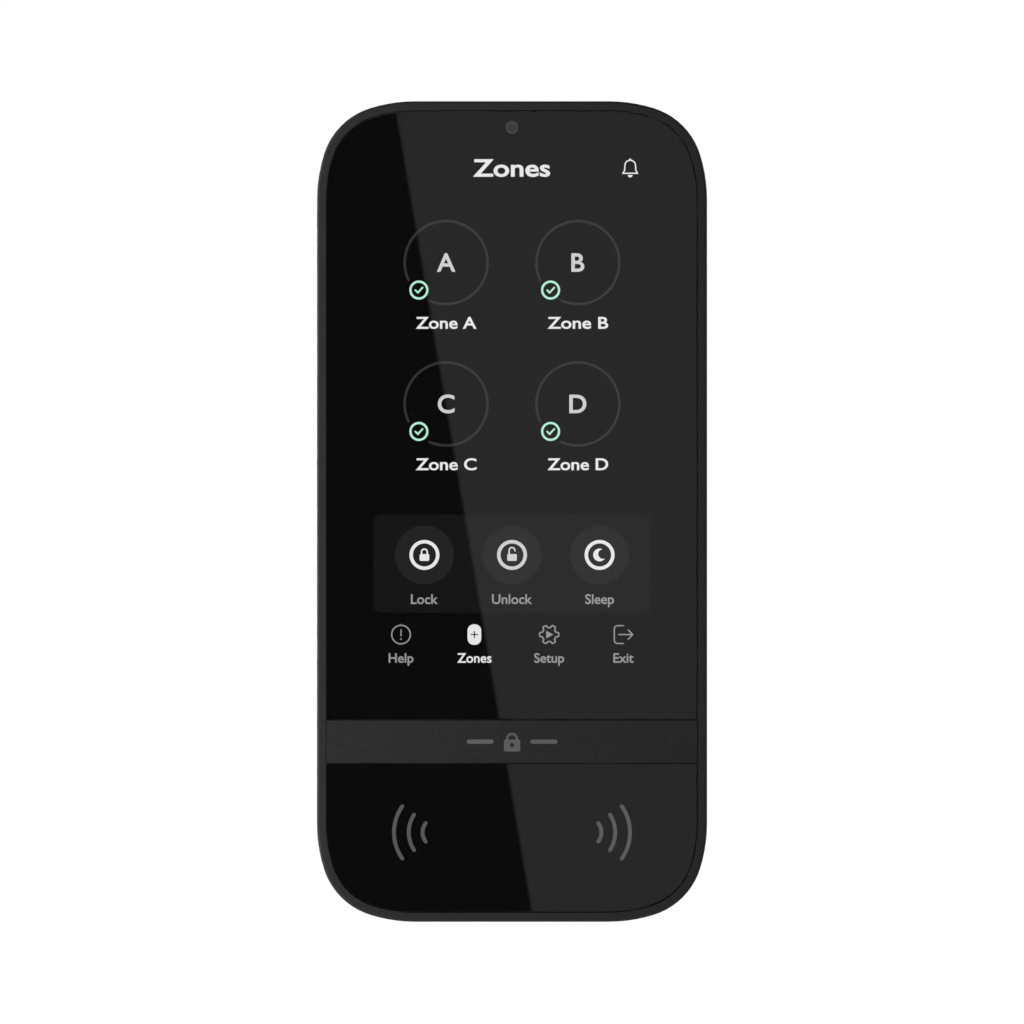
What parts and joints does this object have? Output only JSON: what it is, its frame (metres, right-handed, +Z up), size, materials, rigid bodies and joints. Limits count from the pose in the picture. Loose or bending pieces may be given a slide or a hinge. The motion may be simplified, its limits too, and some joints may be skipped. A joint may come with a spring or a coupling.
{
  "type": "alarm keypad panel",
  "caption": "Wall-mounted touch keypad panel with a dark glass front, a lit sign band and a card reader zone, on a slide-on bracket.",
  "frame": {"origin": "middle of the bracket's back face, on the wall", "axes": "+Z up the wall, -Y out from the wall towards the person at the panel, +X to that person's right"},
  "size_m": [0.0808, 0.022, 0.17],
  "materials": {
    "housing": "fine textured black moulding",
    "cover_glass": "polished clear cover glass",
    "black_print": "black printed film behind glass",
    "band": "fine matt texture",
    "sign_lens": "smoked translucent inlay",
    "clear_plastic": "polished clear plastic",
    "white_plastic": "matt white moulding",
    "display": "dark display face",
    "foam": "soft black foam",
    "steel": "pressed sheet",
    "screw_steel": "zinc plated",
    "spring_steel": "nickel plated wire",
    "circuit_board": "green solder mask",
    "flex": "amber flexible circuit",
    "copper": "etched copper tracks on film",
    "ferrite": "dark ferrite sheet",
    "chip": "moulded package",
    "connector": "ivory connector housings",
    "led": "small light emitting diodes",
    "terminal": "green terminal housing",
    "brass": "machined",
    "switch": "black switch housing",
    "button": "dark grey button",
    "cell_sleeve": "blue shrink sleeve",
    "tray_plastic": "black moulding",
    "rear_plastic": "black moulding with a matt back",
    "seal": "soft grey seal",
    "bracket": "black moulded plate"
  },
  "bodies": {
    "keypad": {"front_housing": "housing", "upper_glass": "cover_glass", "lower_glass": "cover_glass", "upper_bonding_film": "black_print", "lower_bonding_film": "black_print", "indicator_band": "band", "status_lenses": "sign_lens", "status_light_guide": "clear_plastic", "led_board": "led", "sensor_window": "sign_lens", "light_sensor": "chip", "reader_antenna": "copper", "ferrite_sheet": "ferrite", "display_panel": "display", "backlight_frame": "white_plastic", "backlight_guide": "clear_plastic", "backlight_leds": "led", "display_cushion": "foam", "display_tray": "steel", "display_tray_screws": "screw_steel", "display_flex": "flex", "main_board": "circuit_board", "board_chips": "chip", "radio_shield_can": "steel", "board_connectors": "connector", "radio_antennas": "steel", "buzzer": "chip", "board_screws": "screw_steel", "tamper_switch": "switch", "tamper_spring": "spring_steel", "power_switch": "switch", "terminal_block": "terminal", "terminal_contact_bars": "brass", "battery_tray": "tray_plastic", "battery_cell_1": "cell_sleeve", "battery_cell_2": "cell_sleeve", "battery_cell_3": "cell_sleeve", "battery_cell_4": "cell_sleeve", "battery_springs": "spring_steel", "battery_contacts": "spring_steel", "rear_cover": "rear_plastic", "rear_gasket": "seal", "rear_cover_screws": "screw_steel", "lock_insert": "brass"},
    "wall_bracket": {"wall_bracket": "bracket"},
    "lock_screw_washer": {"lock_screw_washer": "screw_steel"},
    "lock_screw": {"lock_screw": "screw_steel"},
    "tamper_plunger": {"tamper_plunger": "button"},
    "power_button": {"power_button": "button"},
    "terminal_screw_1": {"terminal_screw_1": "screw_steel"},
    "terminal_screw_2": {"terminal_screw_2": "screw_steel"},
    "terminal_cage_1": {"terminal_cage_1": "brass"},
    "terminal_cage_2": {"terminal_cage_2": "brass"}
  },
  "joints": [
    {"name": "keypad_slide", "type": "slide", "parent": "wall_bracket", "child": "keypad", "axis": [0, 0, 1], "range_m": [0, 0.006]},
    {"name": "lock_washer_slide", "type": "slide", "parent": "wall_bracket", "child": "lock_screw_washer", "axis": [0, 0, -1], "range_m": [0, 0.003]},
    {"name": "lock_screw_turn", "type": "hinge", "parent": "lock_screw_washer", "child": "lock_screw", "pos_m": [0, -0.0054, -0.083], "axis": [0, 0, -1], "range_deg": [0, 2160]},
    {"name": "tamper_plunger_press", "type": "slide", "parent": "keypad", "child": "tamper_plunger", "axis": [0, -1, 0], "range_m": [0, 0.0012], "stiffness_N_per_m": 250, "springref_m": -0.001, "deforming": ["tamper_spring"]},
    {"name": "power_button_press", "type": "slide", "parent": "keypad", "child": "power_button", "axis": [0, -1, 0], "range_m": [0, 0.0005], "stiffness_N_per_m": 900, "springref_m": -0.0003},
    {"name": "terminal_screw_1_turn", "type": "hinge", "parent": "keypad", "child": "terminal_screw_1", "pos_m": [-0.0025, -0.005, 0.034], "axis": [0, -1, 0], "range_deg": [0, 864]},
    {"name": "terminal_cage_1_rise", "type": "slide", "parent": "keypad", "child": "terminal_cage_1", "axis": [0, 1, 0], "range_m": [0, 0.0012]},
    {"name": "terminal_screw_2_turn", "type": "hinge", "parent": "keypad", "child": "terminal_screw_2", "pos_m": [0.0025, -0.005, 0.034], "axis": [0, -1, 0], "range_deg": [0, 864]},
    {"name": "terminal_cage_2_rise", "type": "slide", "parent": "keypad", "child": "terminal_cage_2", "axis": [0, 1, 0], "range_m": [0, 0.0012]}
  ],
  "couplings": [
    {"joint": "lock_screw_turn", "follows": "lock_washer_slide", "rad_per_m": 12566},
    {"joint": "terminal_screw_1_turn", "follows": "terminal_cage_1_rise", "rad_per_m": 12566},
    {"joint": "terminal_screw_2_turn", "follows": "terminal_cage_2_rise", "rad_per_m": 12566}
  ]
}
